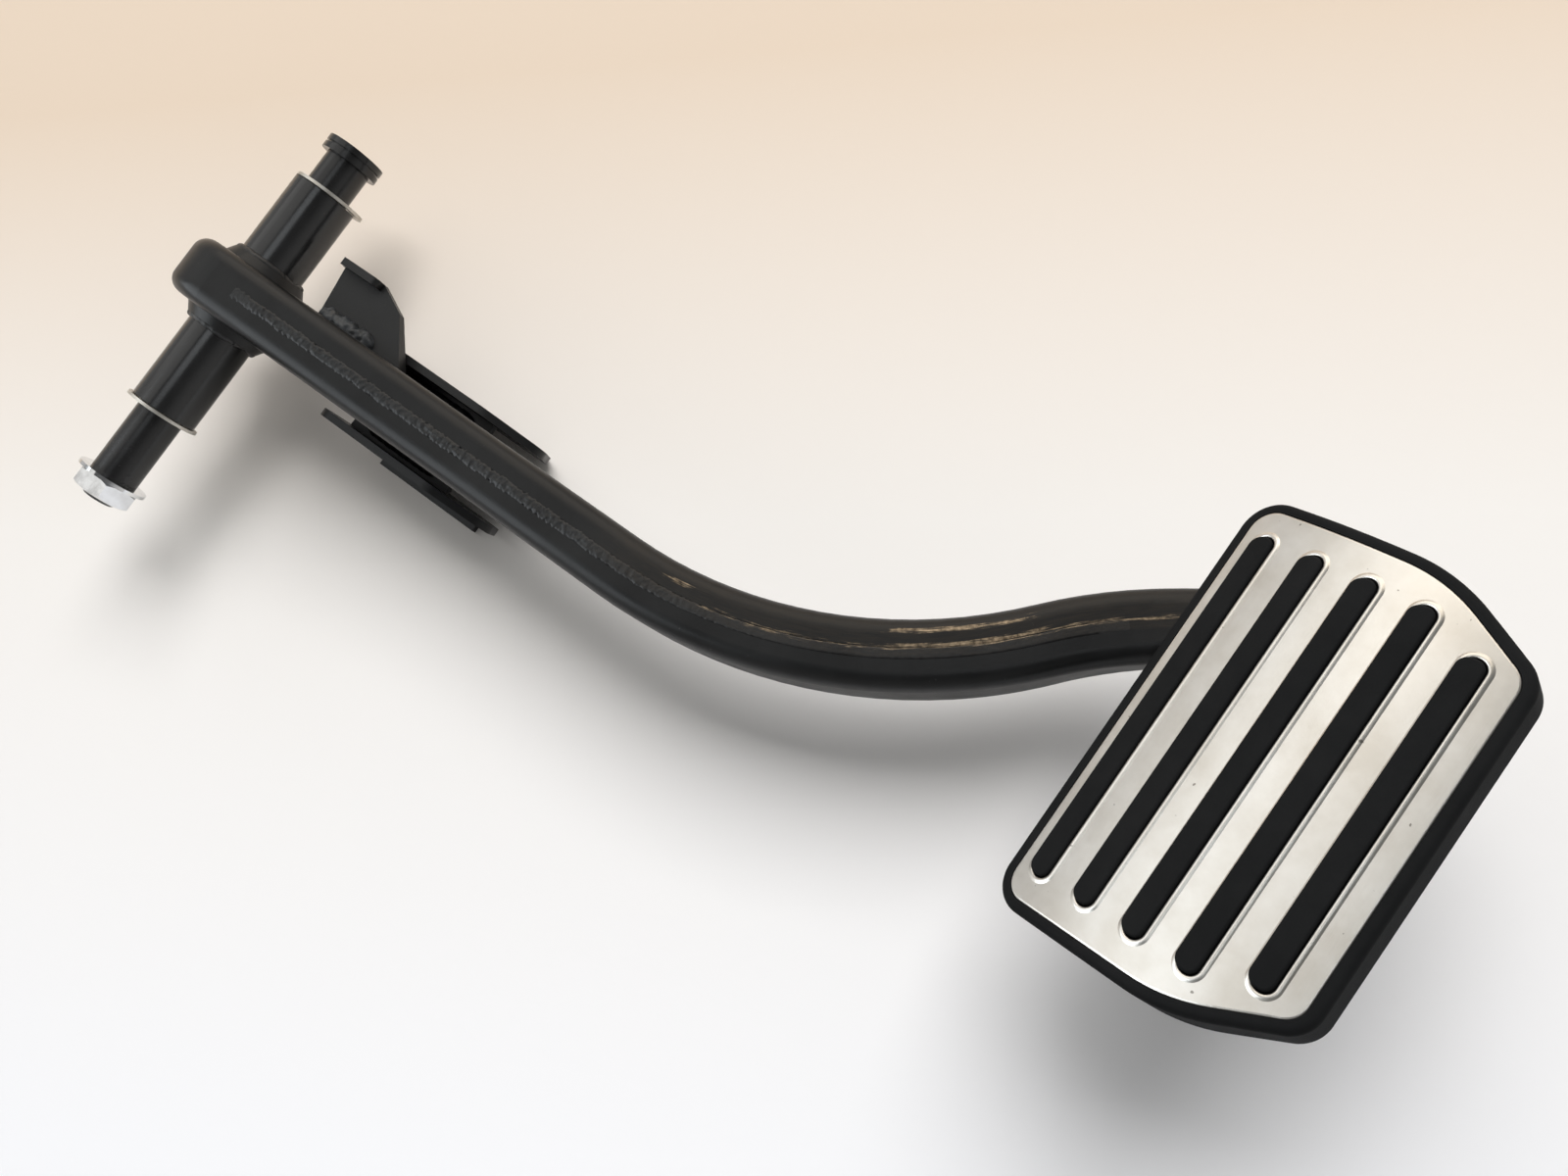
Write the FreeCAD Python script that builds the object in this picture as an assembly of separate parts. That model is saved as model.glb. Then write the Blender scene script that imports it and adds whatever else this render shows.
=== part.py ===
import FreeCAD, Part
import math
import os

from FreeCAD import Placement, Rotation, Vector

os.makedirs("parts", exist_ok=True)

# Brake pedal in millimetres: pivot axis on Y, arm along +X, pad facing up (+Z).

# Arm: two pressed half shells welded along the middle
ARM_WIDTH = 20.0
ARM_TOP = 12.0
ARM_BOTTOM = -14.0
ARM_WALL = 2.5
ARM_EDGE_R = 5.0
HUB_END_R = 22.0
HUB_BLEND_X = 92.0
HUB_BLEND_LOW_X = 46.0
HUB_EASE_R = 350.0
BEND_START_X = 163.0
BEND_R_1 = 150.0
BEND_R_2 = 130.0
BEND_ANGLE = 48.0
SEAM_WIDTH = 3.2
SEAM_PROUD = 0.35
SEAM_DEPTH = 1.2
SEAM_FROM_X = 30.0
SEAM_TO_X = 285.0
RISE_TOP = 43.2
RISE_LOW = 77.2
END_TOP_V = -5.0
END_LOW_V = 23.0
END_OVER = 2.0

# Pivot: tube welded through the arm, bushes pressed in it, headed pin turning in the bushes
TUBE_R = 10.65
TUBE_BORE_R = 9.15
TUBE_LEFT = -44.3
TUBE_RIGHT = 42.8
COLLAR_R = 15.5
COLLAR_RIM_R = 12.2
COLLAR_PROUD = 3.0
HUB_WELD_R = 1.3
PIN_R = 7.5
PIN_CLEARANCE = 0.05
BUSH_LENGTH = 22.0
PIN_LEFT = -71.0
PIN_RIGHT = 55.6
HEAD_R = 9.8
HEAD_THICK = 4.8
HEAD_GROOVE = 0.8
HEAD_GROOVE_DEPTH = 0.7
SOCKET_FLATS = 8.0
SOCKET_DEPTH = 3.0
WASHER_R = 11.9
WASHER_BORE_R = 9.2
WASHER_THICK = 1.0
WASHER_GAP = 0.3
WASHER_DROP_X = 1.0
WASHER_DROP_Z = -0.85
THREAD_R = 5.9
THREAD_STICKOUT = 1.4
THREAD_CHAMFER = 1.0
NUT_FLATS = 18.0
NUT_THICK = 6.0
NUT_FACE_R = 8.82
NUT_CHAMFER = 30.0
NUT_TURN = -40.0
NUT_WASHER_R = 11.2
NUT_WASHER_THICK = 1.2

# Pushrod bracket: channel under the arm with a drilled cheek on each side
BRACKET_WALL = 2.5
BRACKET_GAP = 3.2
BRACKET_FROM_X = 42.5
BRACKET_WEB_TO_X = 92.0
BRACKET_NOSE_X = 112.0
BRACKET_FOOT_X = 104.0
CHEEK_TOP = -3.0
CHEEK_NOSE = -14.0
CHEEK_BOTTOM = -36.0
CHEEK_HEEL = -22.0
CHEEK_HEEL_X = 52.0
CHEEK_CORNER_R = 7.0
FLANGE_WIDTH = 3.0
FLANGE_END_GAP = 2.0
CLEVIS_X = 97.0
CLEVIS_Z = -25.0
CLEVIS_R = 5.1
BEAD_R = 2.2
BEAD_INSET = 0.6
BEAD_LIFT = 0.9
BEAD_END_GAP = 6.5

# Switch tab on the right side of the arm
TAB_WALL = 2.5
TAB_TOP = 3.0
TAB_FROM_X = 25.0
TAB_LIP_X = 41.0
TAB_SHOULDER_X = 52.0
TAB_FOOT_X = 65.0
TAB_REACH = 29.5
TAB_SHOULDER_Y = 24.5
TAB_LIP_RISE = 4.0
TAB_LIP_R = 2.0
TAB_SKIRT_DROP = 5.5
TAB_ROOT = 2.0
TAB_FLARE = 3.0
TAB_WELD_R = 2.4
TAB_WELD_OUT = 0.8
TAB_WELD_ROOT = 0.8
TAB_WELD_END_GAP = 2.5

# Pad: steel backing plate, rubber body, slotted trim plate
PAD_X = 335.2
PAD_Y = 47.7
PAD_Z = 48.0
PAD_TILT = 27.0
PAD_CROWN_R = 152.0
PAD_TOP_V = -44.0
PAD_BOTTOM_V = 35.0
PAD_TOP_HALF = 60.5
PAD_SHOULDER_V = 9.0
PAD_SHOULDER_HALF = 58.5
PAD_BOTTOM_HALF = 44.5
PAD_CORNER_R = 9.0
PAD_SHOULDER_R = 45.0
PAD_BACK = -15.0
PAD_EDGE_R = 1.5
PAD_RIM_R = 2.0
TRIM_INSET = 2.9
TRIM_THICK = 1.5
TRIM_EDGE_R = 0.7
TRIM_LIP_R = 1.2
SLOT_COUNT = 5
SLOT_PITCH = 14.2
SLOT_FIRST_V = -34.3
SLOT_WIDTH = 5.2
SLOT_MARGIN = 10.2
RIB_CLEARANCE = 0.4
RIB_PROUD = 1.0
RIB_EDGE_R = 0.7
RIB_CAP_WIDTH = 6.0
RIB_CAP_SHIFT = -0.7
RIB_CAP_SHORT = 0.8
RIB_CAP_GAP = 0.05
PLATE_INSET = 5.0
PLATE_THICK = 3.0
PLATE_BACK = -12.5
LIP_INSET = 12.0
PAD_WELD_R = 2.0
RUBBER_CLEARANCE = 0.3

# Worked out from the sizes above; the last two only have to be larger than the part
ARM_HALF = ARM_WIDTH / 2
PAD_AT = Vector(PAD_X, PAD_Y, PAD_Z)
TALL = 40.0
BIG = 900.0


def ring(r_out, r_in, y0, y1):
    """Tube section along Y."""
    outer = Part.makeCylinder(r_out, y1 - y0, Vector(0, y0, 0), Vector(0, 1, 0))
    return outer.cut(Part.makeCylinder(r_in, y1 - y0, Vector(0, y0, 0), Vector(0, 1, 0)))


def disc(r, y0, y1):
    return Part.makeCylinder(r, y1 - y0, Vector(0, y0, 0), Vector(0, 1, 0))


def hexagon(flats, y0, y1, turn=0):
    """Hexagonal prism along Y with a corner up, turned by an angle in degrees."""
    r = flats / math.sqrt(3)
    corners = []
    for i in range(7):
        a = math.radians(60 * i + 90 + turn)
        corners.append(Vector(r * math.cos(a), y0, r * math.sin(a)))
    return Part.Face(Part.makePolygon(corners)).extrude(Vector(0, y1 - y0, 0))


def bend_point(offset, part, angle):
    """Point on the arm's plan curve, moved sideways by offset; angle in degrees."""
    a = math.radians(angle)
    turn = math.radians(BEND_ANGLE)
    if part == 1:
        r = BEND_R_1 - offset
        return Vector(BEND_START_X + r * math.sin(a), BEND_R_1 - r * math.cos(a), 0)
    cx = BEND_START_X + (BEND_R_1 + BEND_R_2) * math.sin(turn)
    cy = BEND_R_1 - (BEND_R_1 + BEND_R_2) * math.cos(turn)
    r = BEND_R_2 + offset
    return Vector(cx - r * math.sin(a), cy + r * math.cos(a), 0)


def plan_edges(offset):
    """Edges of the arm's plan curve: straight, bend to the right, bend back, straight."""
    start = Vector(-BIG, offset, 0)
    a = bend_point(offset, 1, 0)
    b = bend_point(offset, 1, BEND_ANGLE / 2)
    c = bend_point(offset, 1, BEND_ANGLE)
    d = bend_point(offset, 2, BEND_ANGLE / 2)
    e = bend_point(offset, 2, 0)
    end = e + Vector(BIG, 0, 0)
    return [Part.makeLine(start, a), Part.Arc(a, b, c).toShape(),
            Part.Arc(c, d, e).toShape(), Part.makeLine(e, end)]


def plan_band(left, right):
    """Upright solid that follows the arm between two sideways offsets."""
    near = plan_edges(left)
    far = plan_edges(right)
    closing = [Part.makeLine(near[0].Vertexes[0].Point, far[0].Vertexes[0].Point),
               Part.makeLine(near[-1].Vertexes[-1].Point, far[-1].Vertexes[-1].Point)]
    wire = Part.Wire(Part.__sortEdges__(near + far + closing))
    face = Part.Face(wire)
    face.translate(Vector(0, 0, -BIG))
    return face.extrude(Vector(0, 0, 2 * BIG))


def pad_place(shape):
    """Moves a shape from the pad's own axes (v, u, n) to the pedal's."""
    placed = shape.copy()
    placed.Placement = Placement(PAD_AT, Rotation(Vector(0, 1, 0), -PAD_TILT))
    return placed


def pad_point(v, n):
    """Point of the arm's side view, from the pad's own axes."""
    place = Rotation(Vector(0, 1, 0), -PAD_TILT).multVec(Vector(v, 0, n))
    return Vector(PAD_X + place.x, 0, PAD_Z + place.z)


def rising_arc(start, end):
    """Arc that leaves start along the arm and bends up to end."""
    chord = end - start
    half_turn = math.atan2(chord.z, chord.x)
    sag = chord.Length / 2 * math.tan(half_turn / 2)
    middle = (start + end) * 0.5 + Vector(math.sin(half_turn), 0, -math.cos(half_turn)) * sag
    return Part.Arc(start, middle, end).toShape()


def eased(corner, before, after, radius):
    """Arc that rounds the corner between two lines."""
    back = (before - corner).normalize()
    ahead = (after - corner).normalize()
    half = back.getAngle(ahead) / 2
    inward = (back + ahead).normalize()
    reach = radius / math.tan(half)
    middle = corner + inward * (radius / math.sin(half) - radius)
    return Part.Arc(corner + back * reach, middle, corner + ahead * reach).toShape()


def side_face(grow):
    """Arm seen from the side, grown outwards by grow; its end lies just inside the pad's plate."""
    hub = HUB_END_R + grow
    top = ARM_TOP + grow
    bottom = ARM_BOTTOM - grow
    lean = math.asin((hub - top) / HUB_BLEND_X)
    dip = math.asin((hub + bottom) / HUB_BLEND_LOW_X)
    hub_top = Vector(hub * math.sin(lean), 0, hub * math.cos(lean))
    hub_low = Vector(hub * math.sin(dip), 0, -hub * math.cos(dip))
    blend_top = Vector(HUB_BLEND_X, 0, top)
    blend_low = Vector(HUB_BLEND_LOW_X, 0, bottom)
    rise_top = Vector(PAD_X - RISE_TOP, 0, top)
    rise_low = Vector(PAD_X - RISE_LOW, 0, bottom)
    end_top = pad_point(END_TOP_V - grow, PLATE_BACK + END_OVER)
    end_low = pad_point(END_LOW_V + grow, PLATE_BACK + END_OVER)
    ease = eased(blend_top, hub_top, rise_top, HUB_EASE_R)
    edges = [Part.Arc(hub_low, Vector(-hub, 0, 0), hub_top).toShape(),
             Part.makeLine(hub_top, ease.Vertexes[0].Point),
             ease,
             Part.makeLine(ease.Vertexes[-1].Point, rise_top),
             rising_arc(rise_top, end_top),
             Part.makeLine(end_top, end_low),
             rising_arc(rise_low, end_low),
             Part.makeLine(rise_low, blend_low),
             Part.makeLine(blend_low, hub_low)]
    return Part.Face(Part.Wire(Part.__sortEdges__(edges)))


def side_block(grow):
    face = side_face(grow)
    face.translate(Vector(0, -BIG, 0))
    return face.extrude(Vector(0, 2 * BIG, 0))


def plate_cut(depth):
    """Block that trims the arm's end to the back of the plate, or depth into it."""
    return pad_place(Part.makeBox(BIG, BIG, BIG, Vector(PAD_TOP_V + PLATE_INSET, -BIG / 2, PLATE_BACK + depth)))


def long_edges(shape):
    """Edges that run along the arm at its four corners, apart from its end."""
    found = []
    for edge in shape.Edges:
        p = edge.valueAt(edge.FirstParameter)
        q = edge.valueAt(edge.LastParameter)
        crosses = abs(q.x - p.x) < ARM_WALL / 2 and edge.CenterOfMass.x > 0
        n = Rotation(Vector(0, 1, 0), PAD_TILT).multVec(edge.CenterOfMass - PAD_AT).z
        at_end = edge.CenterOfMass.x > PAD_X + PAD_TOP_V and n > PLATE_BACK
        if not crosses and not at_end:
            found.append(edge)
    return found


def arm_outer():
    """Outside of the arm, rounded along its corners and trimmed to the pad's plate."""
    solid = plan_band(-ARM_HALF, ARM_HALF).common(side_block(0))
    return solid.makeFillet(ARM_EDGE_R, long_edges(solid)).cut(plate_cut(0))


def arm_hollow():
    half = ARM_HALF - ARM_WALL
    return plan_band(-half, half).common(side_block(-ARM_WALL)).cut(plate_cut(1))


def collar(side):
    """Drawn collar round the tube on one side of the arm."""
    base = ARM_HALF - ARM_WALL
    height = ARM_WALL + COLLAR_PROUD
    cone = Part.makeCone(COLLAR_R, COLLAR_RIM_R, height, Vector(0, side * base, 0), Vector(0, side, 0))
    return cone


def seam_weld():
    """Weld bead on the upper and lower seam of the two shells."""
    band = plan_band(-SEAM_WIDTH / 2, SEAM_WIDTH / 2)
    skin = side_block(SEAM_PROUD).cut(side_block(-SEAM_DEPTH))
    span = Part.makeBox(SEAM_TO_X - SEAM_FROM_X, 2 * BIG, 2 * BIG, Vector(SEAM_FROM_X, -BIG, -BIG))
    return band.common(skin).common(span)


def arm_shells(outer, weld):
    """Left and right half shells, each with its collar and the bore for the tube."""
    bore = disc(TUBE_R, -BIG, BIG)
    hollow = arm_hollow()
    shells = []
    for side in (-1, 1):
        keep = plan_band(-ARM_WIDTH, 0) if side < 0 else plan_band(0, ARM_WIDTH)
        half = outer.cut(hollow).common(keep)
        half = half.fuse(collar(side)).cut(bore).cut(weld)
        shells.append(half.removeSplitter())
    return shells


def hub_welds():
    """Weld ring where the tube leaves each collar."""
    rings = []
    for side in (-1, 1):
        y = side * (ARM_HALF + COLLAR_PROUD)
        bead = Part.makeTorus(TUBE_R, HUB_WELD_R, Vector(0, y, 0), Vector(0, 1, 0))
        bead = bead.cut(disc(TUBE_R, -BIG, BIG)).cut(collar(side))
        rings.append(bead.Solids[0])
    return Part.makeCompound(rings)


def bush(y0, y1):
    return ring(TUBE_BORE_R, PIN_R + PIN_CLEARANCE, y0, y1)


def thrust_washer(y0, drop_x, drop_z):
    """Loose washer, hanging off centre by its drop."""
    washer = ring(WASHER_R, WASHER_BORE_R, y0, y0 + WASHER_THICK)
    washer.translate(Vector(drop_x, 0, drop_z))
    return washer


def pivot_pin():
    """Headed pin with a grooved round head, a hexagon socket and a threaded end."""
    groove = (HEAD_THICK - HEAD_GROOVE) / 2
    head = disc(HEAD_R, PIN_RIGHT, PIN_RIGHT + HEAD_THICK)
    head = head.cut(ring(HEAD_R + 1, HEAD_R - HEAD_GROOVE_DEPTH,
                         PIN_RIGHT + groove, PIN_RIGHT + groove + HEAD_GROOVE))
    socket = hexagon(SOCKET_FLATS, PIN_RIGHT + HEAD_THICK - SOCKET_DEPTH, PIN_RIGHT + HEAD_THICK)
    thread_end = PIN_LEFT - NUT_WASHER_THICK - NUT_THICK - THREAD_STICKOUT
    shaft = disc(PIN_R, PIN_LEFT, PIN_RIGHT)
    thread = disc(THREAD_R, thread_end, PIN_LEFT)
    thread = thread.makeChamfer(THREAD_CHAMFER, [e for e in thread.Edges if abs(e.CenterOfMass.y - thread_end) < 0.01])
    return shaft.fuse([head, thread]).cut(socket).removeSplitter()


def nut_cone(y, way):
    """Turned shape that takes the corners off one face of the nut."""
    slope = math.tan(math.radians(NUT_CHAMFER))
    flat = NUT_FACE_R
    return Part.makeCone(flat, flat + NUT_THICK / slope, NUT_THICK, Vector(0, y, 0), Vector(0, way, 0))


def pivot_nut():
    """Thin hexagon nut, its corners turned off at both faces."""
    y1 = PIN_LEFT - NUT_WASHER_THICK
    y0 = y1 - NUT_THICK
    body = hexagon(NUT_FLATS, y0, y1, NUT_TURN).common(nut_cone(y0, 1)).common(nut_cone(y1, -1))
    return body.cut(disc(THREAD_R, y0, y1))


def cheek(side):
    """Drilled side of the pushrod bracket, shallow at its heel and its nose."""
    y = side * (ARM_HALF + BRACKET_GAP)
    plan = [(BRACKET_FROM_X, CHEEK_TOP), (BRACKET_WEB_TO_X, CHEEK_TOP), (BRACKET_NOSE_X, CHEEK_NOSE),
            (BRACKET_FOOT_X, CHEEK_BOTTOM), (CHEEK_HEEL_X, CHEEK_BOTTOM), (BRACKET_FROM_X, CHEEK_HEEL)]
    outline = Part.makePolygon([Vector(x, y, z) for x, z in plan + plan[:1]])
    wall = Part.Face(outline).extrude(Vector(0, side * BRACKET_WALL, 0))
    corners = [e for e in wall.Edges if abs(e.valueAt(e.FirstParameter).y - e.valueAt(e.LastParameter).y) > 1]
    wall = wall.makeFillet(CHEEK_CORNER_R, corners)
    hole = Part.makeCylinder(CLEVIS_R, 4 * ARM_WIDTH, Vector(CLEVIS_X, -2 * ARM_WIDTH, CLEVIS_Z), Vector(0, 1, 0))
    return wall.cut(hole)


def cheek_flange():
    """Stiffening flange turned out along the foot of the left cheek."""
    y = -ARM_HALF - BRACKET_GAP - BRACKET_WALL
    x0 = CHEEK_HEEL_X + FLANGE_END_GAP
    x1 = BRACKET_FOOT_X - CHEEK_CORNER_R
    return Part.makeBox(x1 - x0, FLANGE_WIDTH, BRACKET_WALL, Vector(x0, y - FLANGE_WIDTH, CHEEK_BOTTOM))


def pushrod_bracket(weld):
    """One folded channel: web on the underside of the arm, relieved for the seam, a cheek on each side."""
    half = ARM_HALF + BRACKET_GAP
    web = Part.makeBox(BRACKET_WEB_TO_X - BRACKET_FROM_X - CHEEK_CORNER_R, 2 * half, BRACKET_WALL,
                       Vector(BRACKET_FROM_X + CHEEK_CORNER_R, -half, ARM_BOTTOM - BRACKET_WALL))
    return cheek(-1).fuse([cheek(1), web, cheek_flange()]).removeSplitter().cut(weld)


def bracket_welds(outer, bracket):
    """Bead on each side, in the corner between the arm and the bracket."""
    x0 = BRACKET_FROM_X + CHEEK_CORNER_R + BEAD_END_GAP
    x1 = BRACKET_WEB_TO_X - BEAD_END_GAP
    beads = []
    for side in (-1, 1):
        at = Vector(x0, side * (ARM_HALF - BEAD_INSET), ARM_BOTTOM + BEAD_LIFT)
        rod = Part.makeCylinder(BEAD_R, x1 - x0, at, Vector(1, 0, 0))
        beads.append(rod.cut(outer).cut(bracket).Solids[0])
    return Part.makeCompound(beads)


def tab_weld(outer):
    """Bead along the foot of the tab, sunk a little into it."""
    at = Vector(TAB_FROM_X + TAB_FLARE + TAB_WELD_END_GAP, ARM_HALF + TAB_WELD_OUT, TAB_TOP)
    length = TAB_SHOULDER_X - TAB_WELD_END_GAP - at.x
    rod = Part.makeCylinder(TAB_WELD_R, length, at, Vector(1, 0, 0))
    rod = rod.makeFillet(TAB_WELD_R * 0.9, [e for e in rod.Edges if len(e.Vertexes) == 1])
    above = Part.makeBox(length, 4 * TAB_WELD_R, 2 * TAB_WELD_R,
                         at - Vector(0, 2 * TAB_WELD_R, TAB_WELD_ROOT))
    return rod.common(above).cut(outer).Solids[0]


def switch_tab(outer, weld):
    """Bent tab with a flat face for a switch, a rolled lip and a skirt down to the arm."""
    z0 = TAB_TOP - TAB_WALL
    inner = ARM_HALF - TAB_ROOT
    plan = [(TAB_FROM_X + TAB_FLARE, inner), (TAB_FROM_X, TAB_REACH), (TAB_LIP_X, TAB_REACH),
            (TAB_SHOULDER_X, TAB_SHOULDER_Y), (TAB_FOOT_X, inner)]
    corners = [Vector(x, y, z0) for x, y in plan + plan[:1]]
    flat = Part.Face(Part.makePolygon(corners)).extrude(Vector(0, 0, TAB_WALL))
    lip = Part.makeBox(TAB_LIP_X - TAB_FROM_X, TAB_WALL, TAB_LIP_RISE + TAB_WALL,
                       Vector(TAB_FROM_X, TAB_REACH - TAB_WALL, z0))
    tips = [e for e in lip.Edges if e.CenterOfMass.z > z0 + TAB_LIP_RISE
            and abs(e.valueAt(e.FirstParameter).y - e.valueAt(e.LastParameter).y) > 1]
    lip = lip.makeFillet(TAB_LIP_R, tips)
    along = Vector(TAB_FOOT_X - TAB_SHOULDER_X, inner - TAB_SHOULDER_Y, 0)
    inward = Vector(along.y, -along.x, 0).normalize() * TAB_WALL
    a = Vector(TAB_SHOULDER_X, TAB_SHOULDER_Y, TAB_TOP)
    skirt = Part.Face(Part.makePolygon([a, a + along, a + along - Vector(0, 0, TAB_SKIRT_DROP),
                                        a - Vector(0, 0, TAB_SKIRT_DROP / 2), a])).extrude(inward)
    return flat.fuse([lip, skirt]).cut(outer).removeSplitter().cut(weld)


def is_shoulder(edge):
    """True for the upright edges where the pad starts to narrow."""
    at = edge.CenterOfMass
    return abs(at.x - PAD_SHOULDER_V) < 1 and abs(abs(at.y) - PAD_SHOULDER_HALF) < 1


def pad_outline(inset, n0, n1):
    """Upright block with the pad's rounded outline, inset all round."""
    plan = [(PAD_TOP_V, -PAD_TOP_HALF), (PAD_SHOULDER_V, -PAD_SHOULDER_HALF), (PAD_BOTTOM_V, -PAD_BOTTOM_HALF),
            (PAD_BOTTOM_V, PAD_BOTTOM_HALF), (PAD_SHOULDER_V, PAD_SHOULDER_HALF), (PAD_TOP_V, PAD_TOP_HALF)]
    face = Part.Face(Part.makePolygon([Vector(v, u, n0) for v, u in plan + plan[:1]]))
    block = face.extrude(Vector(0, 0, n1 - n0))
    uprights = [e for e in block.Edges if abs(e.valueAt(e.FirstParameter).z - e.valueAt(e.LastParameter).z) > 1]
    others = [e for e in uprights if not is_shoulder(e)]
    block = block.makeFillet(PAD_CORNER_R, others)
    block = block.makeFillet(PAD_SHOULDER_R, [e for e in block.Edges if is_shoulder(e)])
    if inset == 0:
        return block
    floor = min(block.Faces, key=lambda f: f.CenterOfMass.z)
    smaller = floor.OuterWire.makeOffset2D(-inset)
    return Part.Face(smaller).extrude(Vector(0, 0, n1 - n0))


def crown(lift):
    """Cylinder that gives the pad its crowned face, lifted by lift."""
    return Part.makeCylinder(PAD_CROWN_R + lift, 2 * BIG, Vector(0, -BIG, -PAD_CROWN_R), Vector(0, 1, 0))


def half_width(v):
    """Half the pad's width at height v."""
    if v < PAD_SHOULDER_V:
        share = (v - PAD_TOP_V) / (PAD_SHOULDER_V - PAD_TOP_V)
        return PAD_TOP_HALF + share * (PAD_SHOULDER_HALF - PAD_TOP_HALF)
    share = (v - PAD_SHOULDER_V) / (PAD_BOTTOM_V - PAD_SHOULDER_V)
    return PAD_SHOULDER_HALF + share * (PAD_BOTTOM_HALF - PAD_SHOULDER_HALF)


def slot(index, width, shift=0, short=0):
    """Upright round-ended block of one slot or rib, moved by shift and shortened at each end."""
    v = SLOT_FIRST_V + index * SLOT_PITCH
    half = half_width(v - SLOT_WIDTH / 2) - SLOT_MARGIN - SLOT_WIDTH / 2 - short
    v = v + shift
    r = width / 2
    bar = Part.makeBox(width, 2 * half, 2 * TALL, Vector(v - r, -half, -TALL))
    ends = [Part.makeCylinder(r, 2 * TALL, Vector(v, side * half, -TALL)) for side in (-1, 1)]
    return bar.fuse(ends).removeSplitter()


def crowned_face(shape, lift):
    """Largest face of a shape that lies on the crown."""
    faces = [f for f in shape.Faces if f.Surface.TypeId == "Part::GeomCylinder"
             and abs(f.Surface.Radius - PAD_CROWN_R - lift) < 0.01]
    return max(faces, key=lambda f: f.Area)


def pad_trim():
    """Crowned trim plate with a rounded lip round each slot."""
    plate = pad_outline(TRIM_INSET, -TALL, TALL).common(crown(0)).cut(crown(-TRIM_THICK))
    for i in range(SLOT_COUNT):
        plate = plate.cut(slot(i, SLOT_WIDTH))
    face = crowned_face(plate, 0)
    lips = [e for wire in face.Wires if not wire.isSame(face.OuterWire) for e in wire.Edges]
    plate = plate.makeFillet(TRIM_LIP_R, lips)
    return plate.makeFillet(TRIM_EDGE_R, crowned_face(plate, 0).OuterWire.Edges)


def pad_rib(index):
    """One rib through its slot; its head is pressed over the upper lip of the slot."""
    stem = slot(index, SLOT_WIDTH - 2 * RIB_CLEARANCE).common(crown(RIB_PROUD)).cut(crown(-2 * TRIM_THICK))
    head = slot(index, RIB_CAP_WIDTH, RIB_CAP_SHIFT, RIB_CAP_SHORT).common(crown(RIB_PROUD)).cut(crown(RIB_CAP_GAP))
    rib = stem.fuse(head).removeSplitter()
    return rib.makeFillet(RIB_EDGE_R, crowned_face(rib, RIB_PROUD).OuterWire.Edges)


def pad_rubber():
    """Rubber body: ribs through the slots, a seat for the trim, a pocket for the plate, a notch for the arm."""
    notch = plan_band(-ARM_HALF - RUBBER_CLEARANCE, ARM_HALF + RUBBER_CLEARANCE)
    notch = notch.common(side_block(RUBBER_CLEARANCE)).cut(plate_cut(0))
    body = pad_outline(0, PAD_BACK, TALL).common(crown(0))
    body = body.makeFillet(PAD_RIM_R, crowned_face(body, 0).OuterWire.Edges)
    low = [e for e in body.Edges if abs(e.CenterOfMass.z - PAD_BACK) < 0.01]
    body = body.makeFillet(PAD_EDGE_R, low)
    body = body.cut(pad_outline(TRIM_INSET, -TALL, TALL).cut(crown(-TRIM_THICK)))
    body = body.cut(pad_outline(PLATE_INSET, PLATE_BACK, PLATE_BACK + PLATE_THICK))
    body = body.cut(pad_outline(LIP_INSET, -TALL, PLATE_BACK))
    body = body.fuse([pad_rib(i) for i in range(SLOT_COUNT)]).removeSplitter()
    return pad_place(body).cut(notch)


def pad_plate():
    return pad_outline(PLATE_INSET, PLATE_BACK, PLATE_BACK + PLATE_THICK)


def pad_weld(outer):
    """Weld bead round the arm's end on the back of the plate."""
    grown = plan_band(-ARM_HALF - PAD_WELD_R, ARM_HALF + PAD_WELD_R).common(side_block(PAD_WELD_R))
    slab = pad_outline(LIP_INSET, PLATE_BACK - PAD_WELD_R, PLATE_BACK)
    core = plan_band(-ARM_HALF + ARM_WALL, ARM_HALF - ARM_WALL).common(side_block(-ARM_WALL))
    return grown.common(pad_place(slab)).cut(outer).cut(core)


def build():
    outer = arm_outer()
    weld = seam_weld()
    left, right = arm_shells(outer, weld)
    bracket = pushrod_bracket(weld)
    foot_weld = tab_weld(outer)
    tab = switch_tab(outer.fuse(collar(1)), foot_weld)
    left_washer = TUBE_LEFT - WASHER_GAP - WASHER_THICK
    return {
        "arm_shell_left": left,
        "arm_shell_right": right,
        "seam_weld": weld,
        "pivot_tube": ring(TUBE_R, TUBE_BORE_R, TUBE_LEFT, TUBE_RIGHT),
        "hub_weld": hub_welds(),
        "bush_left": bush(TUBE_LEFT, TUBE_LEFT + BUSH_LENGTH),
        "bush_right": bush(TUBE_RIGHT - BUSH_LENGTH, TUBE_RIGHT),
        "washer_left": thrust_washer(left_washer, 0, 0),
        "washer_right": thrust_washer(TUBE_RIGHT + WASHER_GAP, WASHER_DROP_X, WASHER_DROP_Z),
        "pivot_pin": pivot_pin(),
        "pivot_nut": pivot_nut(),
        "nut_washer": ring(NUT_WASHER_R, THREAD_R, PIN_LEFT - NUT_WASHER_THICK, PIN_LEFT),
        "pushrod_bracket": bracket,
        "bracket_weld": bracket_welds(outer, bracket),
        "switch_tab": tab,
        "tab_weld": foot_weld,
        "pad_plate": pad_place(pad_plate()),
        "pad_weld": pad_weld(outer),
        "pad_rubber": pad_rubber(),
        "pad_trim": pad_place(pad_trim()),
    }


for name, shape in build().items():
    shape.exportStep("parts/" + name + ".step")
    print(name, len(shape.Solids), "solids", round(shape.Volume), "mm3", "valid" if shape.isValid() else "INVALID")
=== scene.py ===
import math

import bmesh
import bpy
from mathutils import Matrix, Vector, noise


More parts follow.
